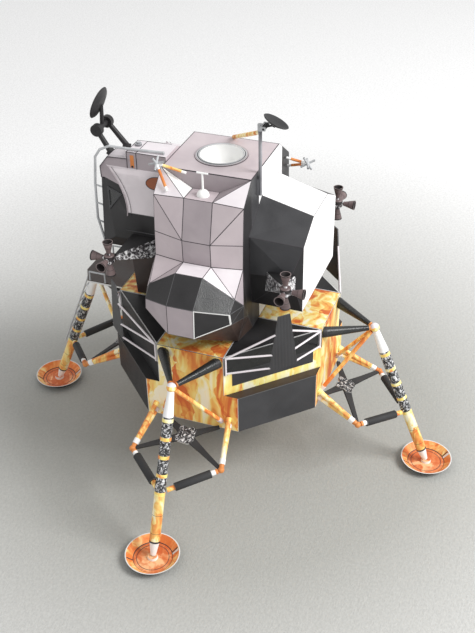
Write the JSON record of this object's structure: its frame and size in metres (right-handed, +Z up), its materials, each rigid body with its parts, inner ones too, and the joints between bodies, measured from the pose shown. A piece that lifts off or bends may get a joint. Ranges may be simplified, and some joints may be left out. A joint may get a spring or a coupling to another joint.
{
  "type": "printed card model of a lunar lander",
  "caption": "Scale card model of a two-stage lunar lander on splayed strut legs; the upper stage lifts off, and the dish antennas tilt.",
  "frame": {"origin": "on the floor under the centre of the four footpads", "axes": "+Z up, +X towards the port leg, -Y towards the front leg with the porch and ladder, +Y aft"},
  "size_m": [0.1992, 0.1992, 0.1568],
  "materials": {
    "foil_card": "printed card, orange and yellow crinkled foil print, satin",
    "black_card": "printed card, black, slight sheen",
    "strut_card": "rolled printed card, foil print and black sleeves",
    "pad_card": "printed card, terracotta foil print",
    "bell_card": "rolled dark grey card",
    "grey_card": "grey printed card and rolled paper",
    "white_paper": "white card, matt",
    "lilac_card": "pale lilac-grey printed card with dark fold lines",
    "silver_foil_print": "card with black and silver crinkled foil print",
    "mauve_card": "mauve-brown printed card cones"
  },
  "bodies": {
    "descent_stage": {"descent_core": "foil_card", "quadrant_bays": "black_card", "descent_deck": "foil_card", "base_shield": "foil_card", "descent_engine_bell": "bell_card", "front_primary_strut": "strut_card", "port_primary_strut": "strut_card", "aft_primary_strut": "strut_card", "starboard_primary_strut": "strut_card", "front_footpad": "pad_card", "port_footpad": "pad_card", "aft_footpad": "pad_card", "starboard_footpad": "pad_card", "front_side_struts": "strut_card", "port_side_struts": "strut_card", "aft_side_struts": "strut_card", "starboard_side_struts": "strut_card", "front_outriggers": "strut_card", "port_outriggers": "strut_card", "aft_outriggers": "strut_card", "starboard_outriggers": "strut_card", "front_truss": "strut_card", "port_truss": "strut_card", "aft_truss": "strut_card", "starboard_truss": "strut_card", "porch": "grey_card", "ladder": "white_paper", "plume_deflectors": "black_card"},
    "ascent_stage": {"midsection": "lilac_card", "crew_cabin": "lilac_card", "forward_hatch": "black_card", "cabin_windows": "black_card", "port_tank_bay": "lilac_card", "starboard_tank_bay": "lilac_card", "aft_equipment_bay": "white_paper", "docking_ring": "white_paper", "handrail": "grey_card", "ascent_engine_bell": "bell_card", "rcs_booms": "silver_foil_print", "port_front_thrusters": "mauve_card", "port_aft_thrusters": "mauve_card", "starboard_front_thrusters": "mauve_card", "starboard_aft_thrusters": "mauve_card", "vhf_antennas": "grey_card", "eva_antenna": "white_paper", "sband_mast": "grey_card", "radar_arms": "black_card"},
    "antenna_yoke": {"sband_yoke": "grey_card"},
    "antenna_dish": {"sband_dish": "black_card"},
    "radar_head": {"radar_dish": "black_card"}
  },
  "joints": [
    {"name": "stage_lift", "type": "slide", "parent": "descent_stage", "child": "ascent_stage", "axis": [0, 0, 1], "range_m": [0, 0.06]},
    {"name": "antenna_pan", "type": "hinge", "parent": "ascent_stage", "child": "antenna_yoke", "pos_m": [0.0146, 0.0187, 0.152], "axis": [0, 0, 1], "range_deg": [-80, 80]},
    {"name": "antenna_tilt", "type": "hinge", "parent": "antenna_yoke", "child": "antenna_dish", "pos_m": [0.0146, 0.0207, 0.152], "axis": [1, 0, 0], "range_deg": [-25, 35]},
    {"name": "radar_tilt", "type": "hinge", "parent": "ascent_stage", "child": "radar_head", "pos_m": [0.0043, -0.05, 0.1382], "axis": [1, 0, 0], "range_deg": [-30, 60]}
  ]
}
